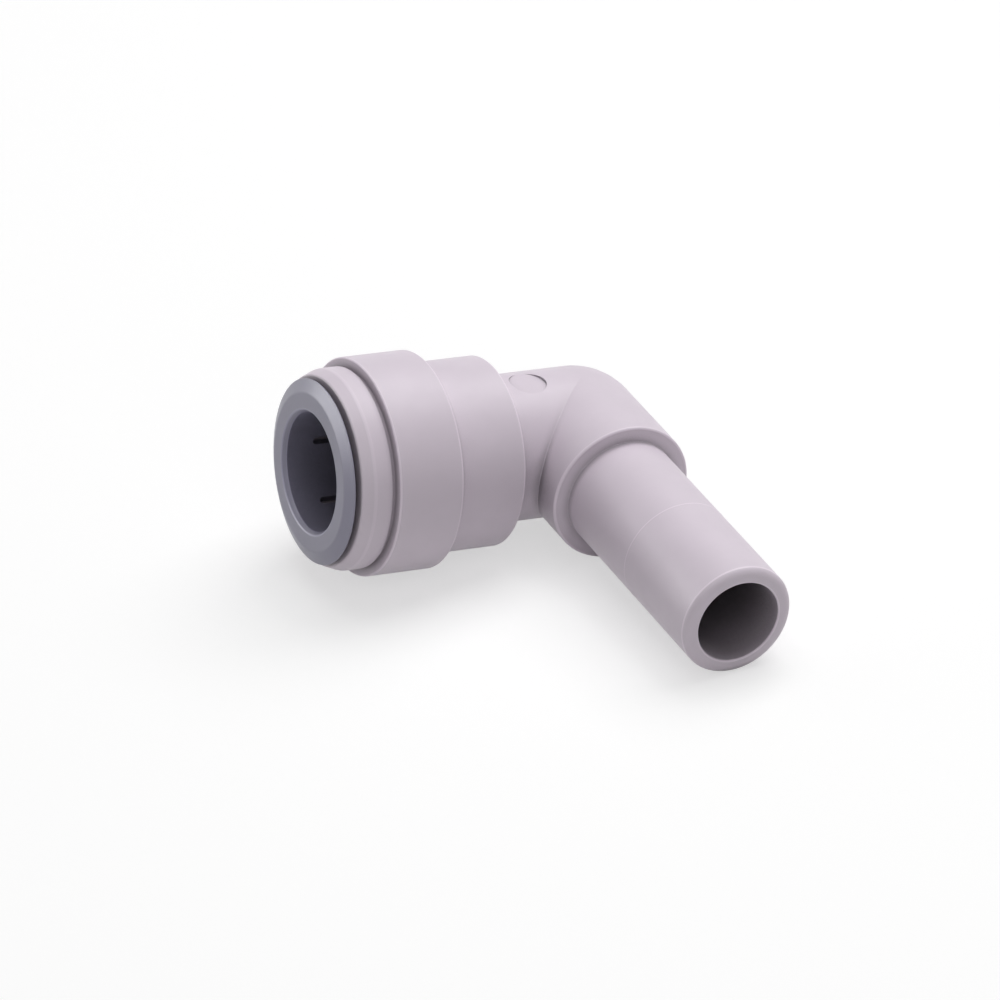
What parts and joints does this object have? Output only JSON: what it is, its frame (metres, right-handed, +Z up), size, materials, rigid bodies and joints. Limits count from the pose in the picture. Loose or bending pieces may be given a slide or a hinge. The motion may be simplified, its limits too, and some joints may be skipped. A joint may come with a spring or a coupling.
{
  "type": "push-fit stem elbow",
  "caption": "Right-angle plastic tube fitting: a push-in socket with a sliding grip collet on one leg and a plain stem of tube size on the other.",
  "frame": {"origin": "middle of the footprint, on the surface that the elbow lies on", "axes": "-Y close to the direction in which the stem points, -X close to the direction in which the socket's mouth points, +Z up; the mouth is lifted 8.8 degrees and the stem dips 3.6 degrees, as the elbow comes to rest"},
  "size_m": [0.0482, 0.0605, 0.029],
  "materials": {
    "body_plastic": "satin moulded acetal, pale lilac grey",
    "cap_plastic": "satin moulded acetal, pale lilac grey",
    "collet_plastic": "satin moulded acetal, blue grey",
    "seal_rubber": "smooth black rubber",
    "tooth_steel": "bright stamped stainless steel"
  },
  "bodies": {
    "fitting": {"elbow_body": "body_plastic", "end_cap": "cap_plastic", "seal_ring": "seal_rubber"},
    "gripper": {"collet": "collet_plastic", "grip_tooth_1": "tooth_steel", "grip_tooth_2": "tooth_steel", "grip_tooth_3": "tooth_steel", "grip_tooth_4": "tooth_steel", "grip_tooth_5": "tooth_steel", "grip_tooth_6": "tooth_steel"}
  },
  "joints": [
    {"name": "collet_slide", "type": "slide", "parent": "fitting", "child": "gripper", "axis": [-0.9882, 0, 0.1534], "range_m": [-0.00055, 0.00195]}
  ]
}
